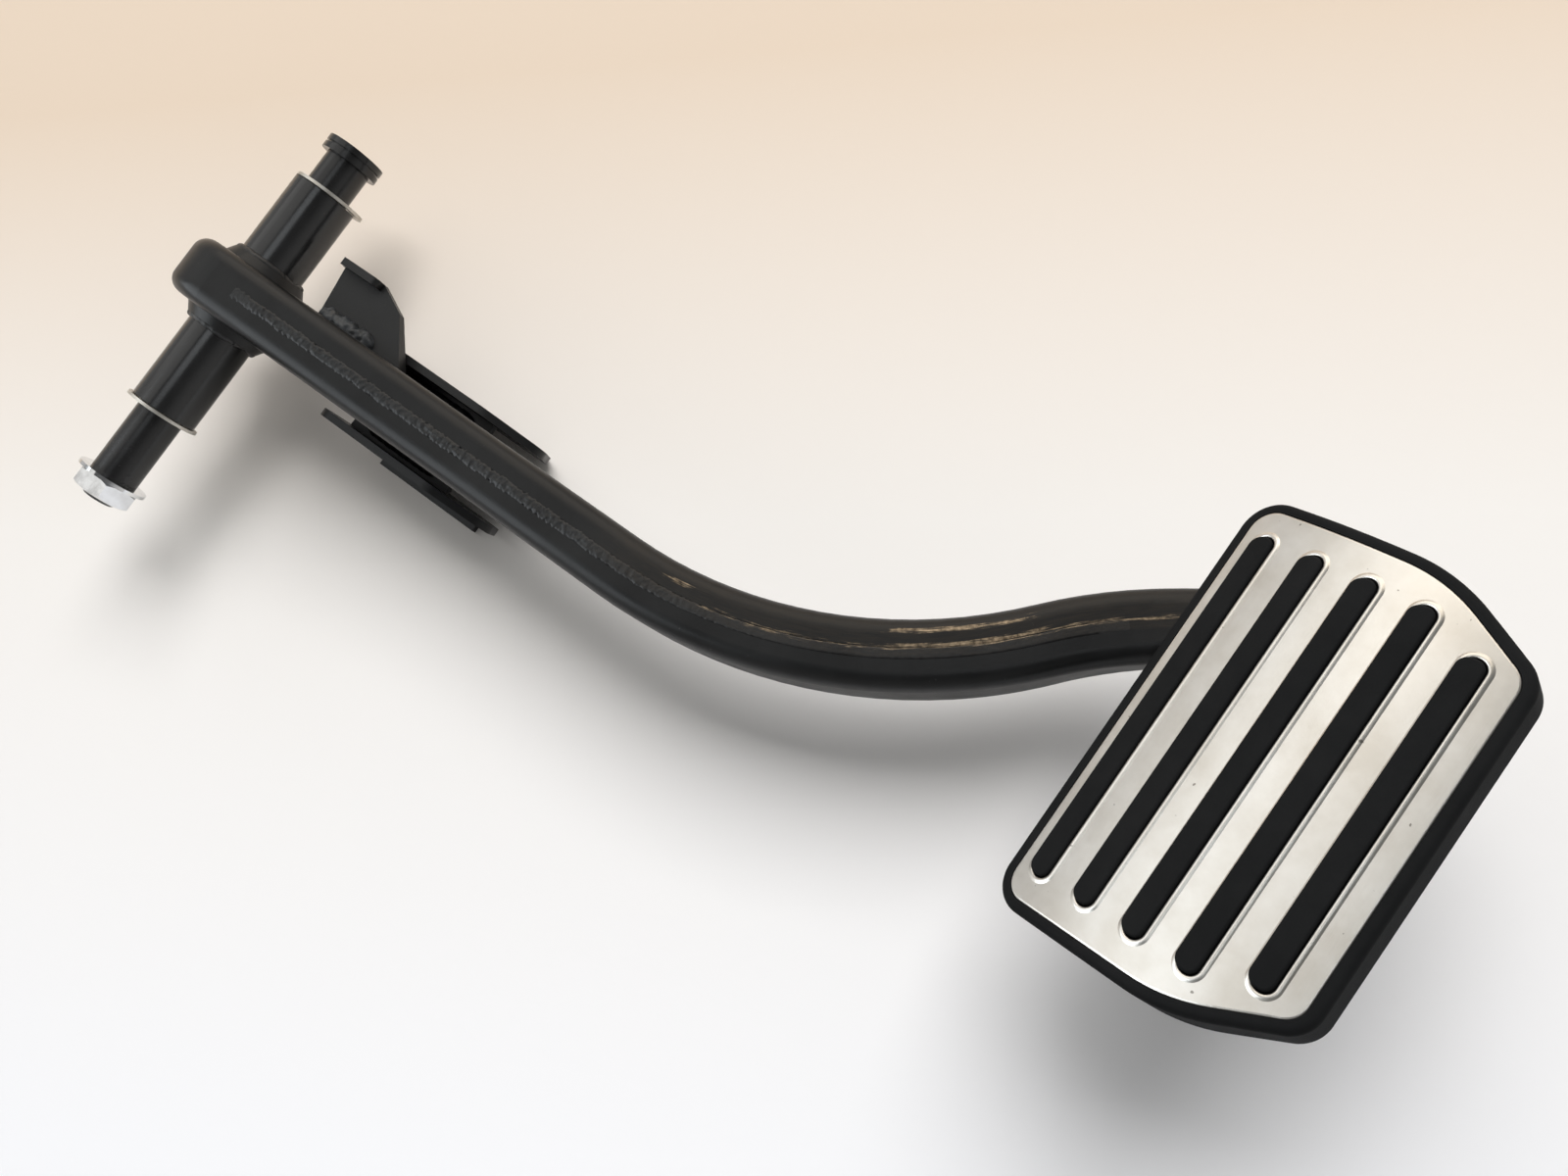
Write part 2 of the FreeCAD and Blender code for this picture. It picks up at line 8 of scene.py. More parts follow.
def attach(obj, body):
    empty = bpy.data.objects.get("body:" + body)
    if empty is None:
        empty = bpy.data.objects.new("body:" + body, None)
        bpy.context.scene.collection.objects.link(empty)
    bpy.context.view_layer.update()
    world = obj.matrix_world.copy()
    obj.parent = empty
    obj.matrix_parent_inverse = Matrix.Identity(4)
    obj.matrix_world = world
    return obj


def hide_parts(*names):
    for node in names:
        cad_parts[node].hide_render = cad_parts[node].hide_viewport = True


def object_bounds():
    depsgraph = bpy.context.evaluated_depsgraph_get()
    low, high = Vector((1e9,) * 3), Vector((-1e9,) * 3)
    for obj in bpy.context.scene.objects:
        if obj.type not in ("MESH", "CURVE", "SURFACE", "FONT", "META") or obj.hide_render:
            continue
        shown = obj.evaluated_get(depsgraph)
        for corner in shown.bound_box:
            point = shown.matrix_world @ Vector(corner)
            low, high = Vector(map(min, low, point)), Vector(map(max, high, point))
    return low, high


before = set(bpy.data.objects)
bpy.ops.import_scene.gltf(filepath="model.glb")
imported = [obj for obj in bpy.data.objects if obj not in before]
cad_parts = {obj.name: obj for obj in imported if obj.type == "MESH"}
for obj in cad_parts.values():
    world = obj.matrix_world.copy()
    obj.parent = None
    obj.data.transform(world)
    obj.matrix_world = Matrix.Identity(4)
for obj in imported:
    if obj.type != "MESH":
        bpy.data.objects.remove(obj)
cad_low, cad_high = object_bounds()

# Lengths are in metres in the pedal's own frame: pivot axis on Y, arm along +X, pad facing up.

# Camera of the photo
CAMERA_AT = (0.3061, 0.0013, 0.3520)
CAMERA_RIGHT = (0.7925, 0.5786, -0.1930)
CAMERA_UP = (-0.5443, 0.8137, 0.2042)
CAMERA_BACK = (0.2752, -0.0568, 0.9597)
LENS_MM = 29.7
SENSOR_MM = 36.0
CLIP_START = 0.005

# Floor; its colour holds painted light and shade, running from cool and bright on the near side to warmer
# and darker on the far side, along a line turned from Y
FLOOR_GAP = 0.0005
FLOOR_HALF = 3.5
FLOOR_PAINTED_LIGHT_TURN = math.radians(-34)
FLOOR_PAINTED_LIGHT_SLOPE = 2.7
FLOOR_PAINTED_LIGHT_SHIFT = 0.73
FLOOR_PAINTED_LIGHT_TONES = [(0.0, (0.925, 0.94, 0.97)), (0.55, (0.85, 0.83, 0.80)), (1.0, (0.72, 0.605, 0.49))]
FLOOR_ROUGH = 0.7
FLOOR_SHINE = 0.0
FLOOR_GRAIN_DEPTH = 0.0002
FLOOR_GRAIN_STRENGTH = 0.3

# Surroundings, from the horizon to straight overhead
SKY_TONES = [(0.0, (0.64, 0.63, 0.615)), (0.25, (0.60, 0.59, 0.58)), (0.5, (0.46, 0.46, 0.455)),
             (0.75, (0.17, 0.17, 0.17)), (1.0, (0.09, 0.09, 0.09))]

# Lamps: way from the part, width, height, watts, colour, lights matt surfaces, mirrored in glossy ones
LAMP_TARGET = (0.18, 0.03, 0.0)
LAMP_DISTANCE = 3.0
LAMPS = {
    "key": ((-0.20, 0.56, 0.80), 2.2, 2.0, 92, (1.0, 0.985, 0.975), True, False),
    "window": ((-0.35, 0.75, 0.56), 3.0, 2.4, 38, (1.0, 0.90, 0.77), False, True),
    "card": ((-0.62, 0.15, 0.77), 2.0, 3.0, 17, (1.0, 0.985, 0.955), True, True),
    "strip": ((0.05, 0.0, 1.0), 0.7, 1.0, 4.6, (0.93, 0.97, 1.0), False, True),
    "fill": ((-0.62, -0.58, 0.54), 2.4, 2.4, 62, (0.90, 0.96, 1.0), False, True),
}

# Arm's middle line and faces, as in the solids
ARM_TOP = 0.012
ARM_BOTTOM = -0.014
HUB_R = 0.022
BLEND_X = 0.092
BLEND_LOW_X = 0.046
BEND_START = 0.163
BEND_R_1 = 0.150
BEND_R_2 = 0.130
BEND_ANGLE = math.radians(48)
BEND_MEET_X = BEND_START + BEND_R_1 * math.sin(BEND_ANGLE)
BEND_CENTRE_1 = (BEND_START, BEND_R_1)
BEND_CENTRE_2 = (BEND_START + (BEND_R_1 + BEND_R_2) * math.sin(BEND_ANGLE),
                 BEND_R_1 - (BEND_R_1 + BEND_R_2) * math.cos(BEND_ANGLE))
EASE_R = 0.350
RISE_LOW_X = 0.258
RISE_LOW_R = 0.1147

# Weld on the seam; past the thin values it is narrower and lower
SEAM_FROM = 0.012
SEAM_TO = 0.290
SEAM_HALF = 0.0019
SEAM_RAGGED = 0.0009
SEAM_HEIGHT = 0.00042
SEAM_THIN_FROM = 0.150
SEAM_THIN_TO = 0.205
SEAM_NARROW = 0.85
SEAM_LOW = 0.30
SEAM_STEPS = 1100
SEAM_ACROSS = 10
SEAM_END_STEPS = 40
SEAM_END_LOW = 0.3
SEAM_EDGE = 0.9
SEAM_LEAST_LIFT = 0.00006
SEAM_EDGE_LIFT = -0.00025
SEAM_TOP_SEED = 3.0
SEAM_LOW_SEED = 21.0
# Noise on the seam, per metre: slow and quick along its edges, coarse and fine lumps along and across
SEAM_SLOW = 170
SEAM_QUICK = 950
SEAM_COARSE = (700, 900)
SEAM_FINE = (1900, 2200)
# Shares of that noise, and the even part of the seam's height
SEAM_SLOW_SHARE = 0.6
SEAM_QUICK_SHARE = 0.8
SEAM_FINE_SHARE = 0.5
SEAM_LUMP_SHARE = 0.55
SEAM_EVEN_SHARE = 0.75

# Rippled beads: points round a ring, turn of the ripple per step, noise per metre and its shares, ends
BEAD_SIDES = 28
BEAD_RIPPLE_TURN = 1.05
BEAD_RIPPLE_NOISE = 700
BEAD_COARSE = 520
BEAD_FINE = 1500
BEAD_FINE_SHARE = 0.5
BEAD_STRAY_SHARE = 0.8
BEAD_STEEP = 0.9
BEAD_END_SLOPE = 9
BEAD_END_LEAST = 0.02

# Weld at the foot of the switch tab
TAB_WELD_FROM = (0.0275, 0.0108, 0.0026)
TAB_WELD_TO = (0.0515, 0.0108, 0.0026)
TAB_WELD_R = 0.0032
TAB_WELD_STEPS = 44
TAB_WELD_SEED = 4.0
TAB_WELD_RIPPLE = 0.02
TAB_WELD_ROUGH = 0.34

# Welds between the arm and the pushrod bracket
SIDE_WELD_FROM_X = 0.0555
SIDE_WELD_TO_X = 0.0860
SIDE_WELD_Y = 0.0096
SIDE_WELD_Z = -0.0130
SIDE_WELD_R = 0.0023
SIDE_WELD_STEPS = 60
SIDE_WELD_SEED = 8.0
SIDE_WELD_RIPPLE = 0.06
SIDE_WELD_ROUGH = 0.15

# Weld round the tube at each side of the arm
RING_WELD_Y = 0.0130
RING_WELD_R = 0.0107
RING_WELD_THICK = 0.0014
RING_WELD_STEPS = 120
RING_WELD_SEED = 12.0
RING_WELD_RIPPLE = 0.05
RING_WELD_ROUGH = 0.12

# Slots of the pad's trim, in the pad's own axes: v across the slots, u along them
PAD_AT = (0.3352, 0.0477, 0.0480)
PAD_TILT = math.radians(27)
SLOT_PITCH = 0.0142
SLOT_FIRST_V = -0.0343
SLOT_HALF_LENGTHS = (0.0474, 0.0469, 0.0464, 0.0458, 0.0398)
PAD_CROWN_R = 0.152
# Section of the rolled lip round a slot: distance from the slot's middle line, height over the plate
LIP_SECTION = [(0.00262, -0.00090), (0.00256, -0.00030), (0.00262, 0.00010),
               (0.00280, 0.00027), (0.00308, 0.00035), (0.00340, 0.00033),
               (0.00370, 0.00021), (0.00395, 0.00006), (0.00415, -0.00004)]
LIP_END_STEPS = 24
LIP_SIDE_STEPS = 40

# Wear on the arm's bend: a dull band beside the middle line, and its reach along X
WORN_BAND = (-0.0008, 0.0085)
WORN_BAND_EDGE = 0.0010
WORN_FROM_X = 0.170
WORN_TO_X = 0.318
WORN_FADE = 0.025
WORN_DULL = 0.8
# Streaks of the wear per metre: along X, aside of the middle line, in height
WORN_STREAKS = (190, 3400, 300)
# Bare lines in the band: place aside of the middle line, half width, reach from and to along X, amount
WORN_LINES = [(0.0062, 0.0016, 0.234, 0.274, 0.38), (0.0015, 0.0018, 0.186, 0.312, 0.29),
              (0.0020, 0.0018, 0.236, 0.278, 0.42), (0.0049, 0.0015, 0.174, 0.192, 0.37)]
WORN_LINE_FADE = 0.008
WORN_PAINT = (0.017, 0.0138, 0.0105)
WORN_ROUGH = (0.50, 0.50, 0.50)
BARE_DARK = (0.05, 0.036, 0.022)
BARE_LIGHT = (0.34, 0.26, 0.17)
BARE_METALLIC = 0.4

# Black paints: colour, colour of dark patches, least and most roughness, depth of the peel, shine, worn
PAINTS = {
    "arm_paint": ((0.009, 0.0093, 0.0096), (0.005, 0.0052, 0.0054), 0.30, 0.42, 0.00003, 0.24, True),
    "tube_paint": ((0.012, 0.0122, 0.0125), (0.007, 0.007, 0.0072), 0.16, 0.23, 0.000012, 0.55, False),
    "bracket_paint": ((0.011, 0.0113, 0.0116), (0.006, 0.0062, 0.0064), 0.34, 0.5, 0.00004, 0.28, False),
    "plate_paint": ((0.016, 0.016, 0.0165), (0.009, 0.009, 0.009), 0.40, 0.55, 0.00004, 0.28, False),
    "pin_black": ((0.011, 0.011, 0.0115), (0.006, 0.006, 0.006), 0.20, 0.28, 0.000012, 0.45, False),
    "seam_paint": ((0.014, 0.0148, 0.0156), (0.005, 0.005, 0.0052), 0.34, 0.48, 0.00008, 0.34, True),
}
PAINT_SPECK = (0.10, 0.095, 0.085)
PAINT_SPECKS = 0.35

# Welds: colour, colour of light patches
WELDS = {
    "seam_weld": ((0.006, 0.006, 0.0062), (0.016, 0.0165, 0.017)),
    "tab_weld": ((0.008, 0.0085, 0.009), (0.045, 0.050, 0.055)),
}
WELD_SKIN_DEPTH = 0.00025

# Metals: colour, colour of stains, least and most roughness, depth of the scratches
METALS = {
    "washer_grey": ((0.62, 0.60, 0.55), (0.45, 0.42, 0.37), 0.38, 0.52, 0.00002),
    "zinc": ((0.78, 0.79, 0.80), (0.60, 0.60, 0.60), 0.07, 0.14, 0.000012),
}
SCRATCHES = (2600, 400, 2600)

# Trim plate, rubber and bush plastic
TRIM_STAIN = (0.60, 0.572, 0.522)
TRIM_STEEL = (0.72, 0.705, 0.67)
TRIM_SPECK = (0.10, 0.085, 0.07)
TRIM_SPECKS = 0.7
TRIM_ROUGH = 0.25
TRIM_ROUGH_PATCHES = 0.10
TRIM_ROUGH_GRAIN = 0.06
TRIM_GRAIN = (5200, 160, 5200)
TRIM_GRAIN_DEPTH = 0.000012
RUBBER_DARK = (0.0085, 0.0090, 0.0095)
RUBBER_DUSTY = (0.0135, 0.0140, 0.0145)
RUBBER_SHINE = 0.04
RUBBER_GRAIN_DEPTH = 0.00006
PLASTIC_DARK = (0.40, 0.38, 0.33)
PLASTIC_LIGHT = (0.52, 0.50, 0.45)
PLASTIC_GRAIN_DEPTH = 0.00003

# Material of each CAD node that stays
FINISHES = {
    "arm_shell_left": "arm_paint", "arm_shell_right": "arm_paint", "pivot_tube": "tube_paint",
    "pushrod_bracket": "bracket_paint", "switch_tab": "bracket_paint", "pad_plate": "plate_paint",
    "pad_weld": "seam_weld", "pivot_pin": "pin_black", "pivot_nut": "zinc", "nut_washer": "zinc",
    "washer_left": "washer_grey", "washer_right": "washer_grey", "bush_left": "bush_plastic",
    "bush_right": "bush_plastic", "pad_rubber": "rubber", "pad_trim": "trim_steel",
}

# Sockets of the mix node when it mixes colours
MIX_A = 6
MIX_B = 7
MIX_RESULT = 2


def new_material(name):
    material = bpy.data.materials.new(name)
    material.use_nodes = True
    tree = material.node_tree
    return material, tree, tree.nodes["Principled BSDF"]


def add(tree, kind, **values):
    """New node; values name its inputs with spaces as underscores, or its properties."""
    node = tree.nodes.new(kind)
    for key, value in values.items():
        label = key.replace("_", " ")
        if label in node.inputs:
            node.inputs[label].default_value = value
        else:
            setattr(node, key, value)
    return node


def place(tree, scale=(1, 1, 1), turn=(0, 0, 0)):
    """The object's own coordinates in metres, scaled and turned."""
    coords = add(tree, "ShaderNodeTexCoord")
    mapping = add(tree, "ShaderNodeMapping", Scale=scale, Rotation=turn)
    tree.links.new(coords.outputs["Object"], mapping.inputs["Vector"])
    return mapping.outputs["Vector"]


def noise_of(tree, vector, scale, detail=4.0, roughness=0.5):
    node = add(tree, "ShaderNodeTexNoise", Scale=scale, Detail=detail, Roughness=roughness)
    tree.links.new(vector, node.inputs["Vector"])
    return node.outputs["Fac"]


def ramp(tree, value, *stops):
    """Colour ramp through stops of (place, grey or colour)."""
    node = tree.nodes.new("ShaderNodeValToRGB")
    elements = node.color_ramp.elements
    while len(elements) < len(stops):
        elements.new(0.5)
    for element, (at, colour) in zip(elements, stops):
        element.position = at
        element.color = (*colour, 1) if isinstance(colour, tuple) else (colour, colour, colour, 1)
    tree.links.new(value, node.inputs["Fac"])
    return node.outputs["Color"]


def math_of(tree, operation, a, b):
    node = tree.nodes.new("ShaderNodeMath")
    node.operation = operation
    for socket, value in zip(node.inputs, (a, b)):
        if isinstance(value, (int, float)):
            socket.default_value = value
        else:
            tree.links.new(value, socket)
    return node.outputs["Value"]


def mix_of(tree, factor, a, b):
    """Mix of two colours by a factor."""
    node = tree.nodes.new("ShaderNodeMix")
    node.data_type = "RGBA"
    tree.links.new(factor, node.inputs["Factor"])
    for socket, value in ((node.inputs[MIX_A], a), (node.inputs[MIX_B], b)):
        if isinstance(value, tuple):
            socket.default_value = (*value, 1)
        else:
            tree.links.new(value, socket)
    return node.outputs[MIX_RESULT]


def bump(tree, shader, height, distance, strength=1.0):
    node = add(tree, "ShaderNodeBump", Strength=strength, Distance=distance)
    tree.links.new(height, node.inputs["Height"])
    tree.links.new(node.outputs["Normal"], shader.inputs["Normal"])


def between(tree, value, low, high, edge):
    """1 between two values, fading to 0 over the edge outside them."""
    rise = add(tree, "ShaderNodeMapRange", interpolation_type="SMOOTHSTEP")
    fall = add(tree, "ShaderNodeMapRange", interpolation_type="SMOOTHSTEP")
    for node, start, end in ((rise, low - edge, low), (fall, high + edge, high)):
        node.inputs["From Min"].default_value = start
        node.inputs["From Max"].default_value = end
        tree.links.new(value, node.inputs["Value"])
    return math_of(tree, "MULTIPLY", rise.outputs["Result"], fall.outputs["Result"])


def gap_to(tree, x, y, centre):
    """Distance in plan from a centre."""
    across = math_of(tree, "SUBTRACT", x, centre[0])
    along = math_of(tree, "SUBTRACT", y, centre[1])
    across_square = math_of(tree, "MULTIPLY", across, across)
    along_square = math_of(tree, "MULTIPLY", along, along)
    return math_of(tree, "POWER", math_of(tree, "ADD", across_square, along_square), 0.5)


def arm_wear(tree):
    """Dull band and bare streaks, as two factors that follow the arm's bend."""
    split = add(tree, "ShaderNodeSeparateXYZ")
    tree.links.new(place(tree), split.inputs["Vector"])
    x = split.outputs["X"]
    y = split.outputs["Y"]
    first = math_of(tree, "SUBTRACT", BEND_R_1, gap_to(tree, x, y, BEND_CENTRE_1))
    second = math_of(tree, "SUBTRACT", gap_to(tree, x, y, BEND_CENTRE_2), BEND_R_2)
    later = math_of(tree, "GREATER_THAN", x, BEND_MEET_X)
    change = math_of(tree, "MULTIPLY", later, math_of(tree, "SUBTRACT", second, first))
    aside = math_of(tree, "ADD", first, change)
    spread = add(tree, "ShaderNodeCombineXYZ")
    for axis, value, rate in zip("XYZ", (x, aside, split.outputs["Z"]), WORN_STREAKS):
        tree.links.new(math_of(tree, "MULTIPLY", value, rate), spread.inputs[axis])
    streaks = noise_of(tree, spread.outputs["Vector"], scale=1.0, detail=5, roughness=0.62)
    band = math_of(tree, "MULTIPLY", between(tree, aside, *WORN_BAND, WORN_BAND_EDGE),
                   between(tree, x, WORN_FROM_X, WORN_TO_X, WORN_FADE))
    dull = math_of(tree, "MULTIPLY", band, ramp(tree, streaks, (0.38, 0.15), (0.66, 1.0)))
    bare = None
    for middle, half, from_x, to_x, amount in WORN_LINES:
        reach = between(tree, x, from_x + WORN_LINE_FADE, to_x - WORN_LINE_FADE, WORN_LINE_FADE)
        line = math_of(tree, "MULTIPLY", between(tree, aside, middle, middle, half), reach)
        line = math_of(tree, "MULTIPLY", line, amount)
        bare = line if bare is None else math_of(tree, "MAXIMUM", bare, line)
    bare = ramp(tree, math_of(tree, "ADD", streaks, bare), (0.76, 0.0), (0.90, 1.0))
    return dull, bare


def black_paint(name, colour, dark, rough_low, rough_high, peel, shine, worn):
    """Black paint with a fine peel, patches and pale specks; worn adds the wear of the arm's bend."""
    material, tree, shader = new_material(name)
    at = place(tree)
    patches = noise_of(tree, at, scale=55, detail=5, roughness=0.6)
    fine = noise_of(tree, at, scale=1400, detail=3, roughness=0.55)
    base = ramp(tree, patches, (0.35, dark), (0.75, colour))
    rough = ramp(tree, patches, (0.3, rough_low), (0.72, rough_high))
    specks = ramp(tree, noise_of(tree, at, scale=900, detail=2, roughness=0.5), (0.74, 0.0), (0.80, 1.0))
    base = mix_of(tree, math_of(tree, "MULTIPLY", specks, PAINT_SPECKS), base, PAINT_SPECK)
    if worn:
        dull, bare = arm_wear(tree)
        base = mix_of(tree, math_of(tree, "MULTIPLY", dull, WORN_DULL), base, WORN_PAINT)
        rough = mix_of(tree, math_of(tree, "MULTIPLY", dull, WORN_DULL), rough, WORN_ROUGH)
        rust = noise_of(tree, at, scale=700, detail=3, roughness=0.6)
        base = mix_of(tree, bare, base, ramp(tree, rust, (0.3, BARE_DARK), (0.7, BARE_LIGHT)))
        tree.links.new(math_of(tree, "MULTIPLY", bare, BARE_METALLIC), shader.inputs["Metallic"])
    tree.links.new(base, shader.inputs["Base Color"])
    tree.links.new(rough, shader.inputs["Roughness"])
    shader.inputs["Specular IOR Level"].default_value = shine
    bump(tree, shader, fine, peel)
    return material


def weld_metal(name, colour, light):
    """Painted-over weld with a rough skin, a little of it bare."""
    material, tree, shader = new_material(name)
    at = place(tree)
    patches = noise_of(tree, at, scale=260, detail=5, roughness=0.65)
    base = ramp(tree, patches, (0.35, colour), (0.72, light))
    tree.links.new(base, shader.inputs["Base Color"])
    tree.links.new(ramp(tree, patches, (0.3, 0.34), (0.8, 0.6)), shader.inputs["Roughness"])
    tree.links.new(ramp(tree, patches, (0.45, 0.0), (0.8, 0.5)), shader.inputs["Metallic"])
    bump(tree, shader, noise_of(tree, at, scale=620, detail=5, roughness=0.65), WELD_SKIN_DEPTH)
    return material


def plain_metal(name, colour, dark, rough_low, rough_high, scratch):
    """Bright or dull metal with faint scratches and stains."""
    material, tree, shader = new_material(name)
    stains = noise_of(tree, place(tree), scale=180, detail=5, roughness=0.6)
    tree.links.new(ramp(tree, stains, (0.3, dark), (0.65, colour)), shader.inputs["Base Color"])
    tree.links.new(ramp(tree, stains, (0.3, rough_high), (0.7, rough_low)), shader.inputs["Roughness"])
    shader.inputs["Metallic"].default_value = 1.0
    bump(tree, shader, noise_of(tree, place(tree, SCRATCHES), scale=1.0, detail=3), scratch)
    return material


def trim_metal(name):
    """Satin stainless plate: fine grain along the slots, faint stains and dark specks."""
    material, tree, shader = new_material(name)
    at = place(tree)
    grain = noise_of(tree, place(tree, TRIM_GRAIN), scale=1.0, detail=2, roughness=0.5)
    stains = noise_of(tree, at, scale=60, detail=5, roughness=0.6)
    fine = noise_of(tree, at, scale=480, detail=4, roughness=0.6)
    base = ramp(tree, stains, (0.32, TRIM_STAIN), (0.68, TRIM_STEEL))
    specks = ramp(tree, noise_of(tree, at, scale=520, detail=1, roughness=0.4), (0.775, 0.0), (0.80, 1.0))
    base = mix_of(tree, math_of(tree, "MULTIPLY", specks, TRIM_SPECKS), base, TRIM_SPECK)
    tree.links.new(base, shader.inputs["Base Color"])
    shader.inputs["Metallic"].default_value = 1.0
    rough = math_of(tree, "ADD", math_of(tree, "MULTIPLY", fine, TRIM_ROUGH_PATCHES), TRIM_ROUGH)
    rough = math_of(tree, "ADD", rough, math_of(tree, "MULTIPLY", grain, TRIM_ROUGH_GRAIN))
    tree.links.new(rough, shader.inputs["Roughness"])
    bump(tree, shader, grain, TRIM_GRAIN_DEPTH)
    return material


def rubber(name):
    """Matt black rubber with a fine moulded grain and a little dust."""
    material, tree, shader = new_material(name)
    at = place(tree)
    dust = noise_of(tree, at, scale=45, detail=5, roughness=0.65)
    tree.links.new(ramp(tree, dust, (0.35, RUBBER_DARK), (0.75, RUBBER_DUSTY)), shader.inputs["Base Color"])
    tree.links.new(ramp(tree, dust, (0.3, 0.60), (0.75, 0.75)), shader.inputs["Roughness"])
    shader.inputs["Specular IOR Level"].default_value = RUBBER_SHINE
    bump(tree, shader, noise_of(tree, at, scale=1500, detail=3, roughness=0.6), RUBBER_GRAIN_DEPTH)
    return material


def plastic(name):
    """Pale bush plastic with a slight mottling."""
    material, tree, shader = new_material(name)
    at = place(tree)
    patches = noise_of(tree, at, scale=220, detail=4, roughness=0.6)
    base = ramp(tree, patches, (0.3, PLASTIC_DARK), (0.7, PLASTIC_LIGHT))
    tree.links.new(base, shader.inputs["Base Color"])
    tree.links.new(ramp(tree, patches, (0.3, 0.42), (0.7, 0.55)), shader.inputs["Roughness"])
    bump(tree, shader, noise_of(tree, at, scale=1300, detail=3), PLASTIC_GRAIN_DEPTH)
    return material


def bend_point(x, aside):
    """Point of the arm's plan curve near x, moved sideways."""
    if x < BEND_START:
        return x, aside
    if x < BEND_MEET_X:
        angle = math.asin((x - BEND_START) / BEND_R_1)
        r = BEND_R_1 - aside
        return BEND_START + r * math.sin(angle), BEND_R_1 - r * math.cos(angle)
    cx, cy = BEND_CENTRE_2
    angle = math.asin((cx - x) / BEND_R_2)
    r = BEND_R_2 + aside
    return cx - r * math.sin(angle), cy + r * math.cos(angle)


def top_height(x):
    """Height of the arm's upper face."""
    lean = math.asin((HUB_R - ARM_TOP) / BLEND_X)
    start = HUB_R * math.sin(lean)
    reach = EASE_R * math.tan(lean / 2)
    if x > BLEND_X + reach:
        return ARM_TOP
    if x > BLEND_X - reach * math.cos(lean):
        return ARM_TOP + EASE_R - math.sqrt(EASE_R ** 2 - (BLEND_X + reach - x) ** 2)
    share = (BLEND_X - x) / (BLEND_X - start)
    return ARM_TOP + share * (HUB_R * math.cos(lean) - ARM_TOP)


def low_height(x):
    """Height of the arm's lower face."""
    dip = math.asin((HUB_R + ARM_BOTTOM) / BLEND_LOW_X)
    start = HUB_R * math.sin(dip)
    if x < BLEND_LOW_X:
        share = (BLEND_LOW_X - x) / (BLEND_LOW_X - start)
        return ARM_BOTTOM - share * (HUB_R * math.cos(dip) + ARM_BOTTOM)
    if x < RISE_LOW_X:
        return ARM_BOTTOM
    return ARM_BOTTOM + RISE_LOW_R - math.sqrt(RISE_LOW_R ** 2 - (x - RISE_LOW_X) ** 2)


def grid_mesh(name, rows, closed=False):
    """Smooth mesh through rows of points; closed joins each row's ends and caps the first and last row."""
    mesh = bmesh.new()
    made = [[mesh.verts.new(p) for p in row] for row in rows]
    count = len(rows[0])
    for row, following in zip(made, made[1:]):
        for i in range(count if closed else count - 1):
            j = (i + 1) % count
            mesh.faces.new((row[i], row[j], following[j], following[i]))
    if closed:
        mesh.faces.new(reversed(made[0]))
        mesh.faces.new(made[-1])
    bmesh.ops.recalc_face_normals(mesh, faces=mesh.faces)
    for face in mesh.faces:
        face.smooth = True
    data = bpy.data.meshes.new(name)
    mesh.to_mesh(data)
    mesh.free()
    piece = bpy.data.objects.new(name, data)
    bpy.context.scene.collection.objects.link(piece)
    return piece


def seam_edge(x, row, seed):
    """Ragged edge of the seam's weld, about -1 to 1; row sets its two edges apart."""
    slow = noise.noise(Vector((x * SEAM_SLOW, row, seed)))
    quick = noise.noise(Vector((x * SEAM_QUICK, row, seed + 5)))
    return SEAM_SLOW_SHARE * slow + SEAM_QUICK_SHARE * quick


def seam_lumps(x, aside, seed):
    """Lumps on the seam's weld, about -1 to 1."""
    coarse = noise.noise(Vector((x * SEAM_COARSE[0], aside * SEAM_COARSE[1], seed + 2)))
    fine = noise.noise(Vector((x * SEAM_FINE[0], aside * SEAM_FINE[1], seed + 7)))
    return coarse + SEAM_FINE_SHARE * fine


def seam_rows(height_at, way, seed):
    """Rows of points of a low ragged bead along the arm's middle line."""
    rows = []
    for step in range(SEAM_STEPS + 1):
        x = SEAM_FROM + (SEAM_TO - SEAM_FROM) * step / SEAM_STEPS
        fade = max(SEAM_END_LOW, min(1.0, step / SEAM_END_STEPS, (SEAM_STEPS - step) / SEAM_END_STEPS))
        late = min(1.0, max(0.0, (x - SEAM_THIN_FROM) / (SEAM_THIN_TO - SEAM_THIN_FROM)))
        narrow = 1 - late * (1 - SEAM_NARROW)
        thin = 1 - late * (1 - SEAM_LOW)
        halves = [SEAM_HALF * narrow + SEAM_RAGGED * thin * seam_edge(x, row, seed) for row in (0, 9)]
        points = []
        for i in range(SEAM_ACROSS + 1):
            share = 2 * i / SEAM_ACROSS - 1
            aside = share * halves[share > 0]
            px, py = bend_point(x, aside)
            lumpy = SEAM_EVEN_SHARE + SEAM_LUMP_SHARE * seam_lumps(x, aside, seed)
            lift = SEAM_HEIGHT * thin * lumpy * (1 - abs(share) ** 3)
            lift = max(lift, SEAM_LEAST_LIFT) if abs(share) < SEAM_EDGE else SEAM_EDGE_LIFT
            points.append((px, py, height_at(x) + way * lift * fade))
        rows.append(points)
    return rows


def pad_point(v, u, height):
    """Point over the crowned face of the pad, from the pad's own axes."""
    n = math.sqrt(PAD_CROWN_R ** 2 - v ** 2) - PAD_CROWN_R + height
    x = PAD_AT[0] + v * math.cos(PAD_TILT) - n * math.sin(PAD_TILT)
    z = PAD_AT[2] + v * math.sin(PAD_TILT) + n * math.cos(PAD_TILT)
    return x, PAD_AT[1] + u, z


